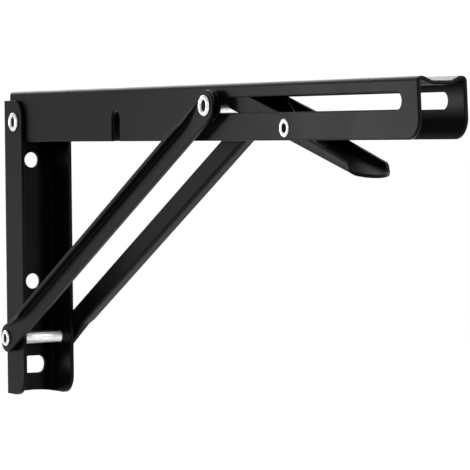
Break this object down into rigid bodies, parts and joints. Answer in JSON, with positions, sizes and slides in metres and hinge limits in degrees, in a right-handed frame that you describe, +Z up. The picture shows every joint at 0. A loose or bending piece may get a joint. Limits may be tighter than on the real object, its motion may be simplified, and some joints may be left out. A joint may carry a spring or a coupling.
{
  "type": "folding shelf bracket",
  "caption": "Folding wall bracket for a drop leaf table or shelf: a slotted arm propped by two struts, locked by a sprung release lever.",
  "frame": {"origin": "where the wall plane meets the plane of the shelf's underside, on the bracket's centre plane", "axes": "+X out from the wall along the open arm, +Y across the bracket, +Z up"},
  "size_m": [0.4, 0.0422, 0.1577],
  "materials": {
    "black_coat": "satin black powder coat",
    "bright_plate": "bright zinc or nickel plate",
    "spring_steel": "plain drawn wire"
  },
  "bodies": {
    "wall": {"wall_channel": "black_coat", "top_pivot_rivet": "bright_plate", "lower_pivot_rivet": "bright_plate", "lower_washer_left": "black_coat", "lower_washer_right": "black_coat"},
    "arm": {"arm_channel": "black_coat", "slide_axle": "bright_plate", "lever_rivet": "bright_plate"},
    "struts": {"strut_left": "black_coat", "strut_right": "black_coat", "slide_rivet_left": "bright_plate", "slide_rivet_right": "bright_plate", "slide_collar_left": "black_coat", "slide_collar_right": "black_coat", "slide_washer_left": "black_coat", "slide_washer_right": "black_coat"},
    "lever": {"release_lever": "black_coat", "lever_spring": "spring_steel"}
  },
  "joints": [
    {"name": "fold", "type": "hinge", "parent": "wall", "child": "arm", "pos_m": [0.0134, 0, -0.01595], "axis": [0, 1, 0], "range_deg": [0, 90]},
    {"name": "strut_swing", "type": "hinge", "parent": "wall", "child": "struts", "pos_m": [0.0086, 0, -0.12835], "axis": [0, 1, 0], "range_deg": [0, 115.95]},
    {"name": "lever_release", "type": "hinge", "parent": "arm", "child": "lever", "pos_m": [0.29001, 0, -0.02075], "axis": [0, -1, 0], "range_deg": [0, 16], "stiffness_Nm_per_rad": 0.4, "springref_deg": -17.19}
  ],
  "couplings": [
    {"joint": "strut_swing", "follows": "fold", "ratio": 1.2884}
  ]
}
